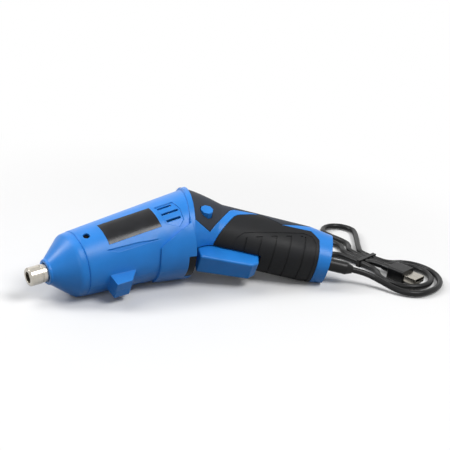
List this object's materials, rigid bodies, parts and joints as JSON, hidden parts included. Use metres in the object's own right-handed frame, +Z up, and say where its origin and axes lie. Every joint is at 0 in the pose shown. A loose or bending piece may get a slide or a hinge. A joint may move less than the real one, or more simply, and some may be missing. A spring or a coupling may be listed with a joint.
{
  "type": "electric screwdriver",
  "caption": "Pistol-bend cordless electric screwdriver in blue plastic with dark rubber grip, lying on its side, with its charging lead plugged in and tied in a hank.",
  "frame": {"origin": "on the floor, under the middle of the box round the tool without its charging lead", "axes": "+Z up from the floor that the tool lies on, +X along the barrel seen from above, from the bit towards the handle, +Y to the tool's back"},
  "size_m": [0.2985, 0.1432, 0.0633],
  "materials": {
    "housing_blue": "satin",
    "grip_rubber": "matte",
    "spine_rubber": "matte",
    "name_plate": "gloss",
    "holder_steel": "satin",
    "magnet": "satin",
    "bush": "satin",
    "gear_plastic": "matte",
    "gear_steel": "satin",
    "screw_steel": "satin",
    "motor_can": "satin",
    "black_plastic": "matte",
    "board_green": "satin",
    "lens_smoke": "gloss",
    "led_clear": "gloss",
    "battery_wrap": "satin",
    "cord_black": "satin"
  },
  "bodies": {
    "tool": {"housing_left": "housing_blue", "housing_right": "housing_blue", "grip_left": "grip_rubber", "grip_right": "grip_rubber", "spine_left": "spine_rubber", "spine_right": "spine_rubber", "name_plate_left": "name_plate", "name_plate_right": "name_plate", "nose_cone": "housing_blue", "spindle_bush": "bush", "ring_gear": "gear_plastic", "motor_can": "motor_can", "motor_end_cap": "black_plastic", "motor_screws": "screw_steel", "motor_plate": "gear_steel", "gearbox_screws": "screw_steel", "housing_screws": "screw_steel", "trigger_pin": "gear_steel", "trigger_switch": "black_plastic", "reverse_switch": "black_plastic", "work_light_lens": "lens_smoke", "work_light_led": "led_clear", "control_board": "board_green", "battery_cell": "battery_wrap", "battery_contacts": "bush", "charge_board": "board_green", "charge_socket": "black_plastic", "dc_plug_barrel": "holder_steel", "dc_plug_body": "cord_black", "charge_hank": "cord_black", "cord_tie": "cord_black", "usb_plug_body": "cord_black", "usb_plug_shell": "holder_steel", "charge_lead": "cord_black"},
    "spindle": {"bit_holder": "holder_steel", "bit_magnet": "magnet", "retaining_ring": "holder_steel", "carrier_two": "gear_steel"},
    "first_carrier": {"carrier_one": "gear_steel"},
    "rotor": {"motor_shaft": "gear_steel", "motor_pinion": "gear_steel"},
    "trigger_lever": {"trigger": "housing_blue"},
    "plunger": {"switch_plunger": "black_plastic"},
    "selector": {"direction_selector": "spine_rubber"},
    "planet_two_a_wheel": {"planet_two_a": "gear_steel"},
    "planet_two_b_wheel": {"planet_two_b": "gear_steel"},
    "planet_two_c_wheel": {"planet_two_c": "gear_steel"},
    "planet_one_a_wheel": {"planet_one_a": "gear_plastic"},
    "planet_one_b_wheel": {"planet_one_b": "gear_plastic"},
    "planet_one_c_wheel": {"planet_one_c": "gear_plastic"}
  },
  "joints": [
    {"name": "spindle_spin", "type": "hinge", "parent": "tool", "child": "spindle", "pos_m": [-0.11073, 0.01898, 0.01883], "axis": [0.9942, 0, 0.1077], "continuous": true},
    {"name": "carrier_one_spin", "type": "hinge", "parent": "tool", "child": "first_carrier", "pos_m": [-0.07066, 0.01898, 0.02317], "axis": [0.9942, 0, 0.1077], "continuous": true},
    {"name": "motor_spin", "type": "hinge", "parent": "tool", "child": "rotor", "pos_m": [-0.05982, 0.01898, 0.02434], "axis": [0.9942, 0, 0.1077], "continuous": true},
    {"name": "planet_two_a_spin", "type": "hinge", "parent": "spindle", "child": "planet_two_a_wheel", "pos_m": [-0.07732, 0.02719, 0.02616], "axis": [0.9942, 0, 0.1077], "continuous": true},
    {"name": "planet_two_b_spin", "type": "hinge", "parent": "spindle", "child": "planet_two_b_wheel", "pos_m": [-0.07749, 0.01168, 0.02772], "axis": [0.9942, 0, 0.1077], "continuous": true},
    {"name": "planet_two_c_spin", "type": "hinge", "parent": "spindle", "child": "planet_two_c_wheel", "pos_m": [-0.07596, 0.01807, 0.01359], "axis": [0.9942, 0, 0.1077], "continuous": true},
    {"name": "planet_one_a_spin", "type": "hinge", "parent": "first_carrier", "child": "planet_one_a_wheel", "pos_m": [-0.06778, 0.02719, 0.02719], "axis": [0.9942, 0, 0.1077], "continuous": true},
    {"name": "planet_one_b_spin", "type": "hinge", "parent": "first_carrier", "child": "planet_one_b_wheel", "pos_m": [-0.06795, 0.01168, 0.02876], "axis": [0.9942, 0, 0.1077], "continuous": true},
    {"name": "planet_one_c_spin", "type": "hinge", "parent": "first_carrier", "child": "planet_one_c_wheel", "pos_m": [-0.06642, 0.01807, 0.01462], "axis": [0.9942, 0, 0.1077], "continuous": true},
    {"name": "trigger_squeeze", "type": "hinge", "parent": "tool", "child": "trigger_lever", "pos_m": [0.0472, -0.01603, 0.0201], "axis": [0.0982, 0.4101, -0.9067], "range_deg": [0, 6], "stiffness_Nm_per_rad": 0.6},
    {"name": "plunger_slide", "type": "slide", "parent": "tool", "child": "plunger", "axis": [0.5773, 0.7187, 0.3875], "range_m": [0, 0.003]},
    {"name": "selector_slide", "type": "slide", "parent": "tool", "child": "selector", "axis": [0.0982, 0.4101, -0.9067], "range_m": [0, 0.005]}
  ],
  "couplings": [
    {"joint": "carrier_one_spin", "follows": "spindle_spin", "ratio": 5},
    {"joint": "motor_spin", "follows": "spindle_spin", "ratio": 25},
    {"joint": "planet_two_a_spin", "follows": "spindle_spin", "ratio": -2.6667},
    {"joint": "planet_two_b_spin", "follows": "spindle_spin", "ratio": -2.6667},
    {"joint": "planet_two_c_spin", "follows": "spindle_spin", "ratio": -2.6667},
    {"joint": "planet_one_a_spin", "follows": "spindle_spin", "ratio": -13.333},
    {"joint": "planet_one_b_spin", "follows": "spindle_spin", "ratio": -13.333},
    {"joint": "planet_one_c_spin", "follows": "spindle_spin", "ratio": -13.333},
    {"joint": "plunger_slide", "follows": "trigger_squeeze", "m_per_rad": 0.0275}
  ]
}
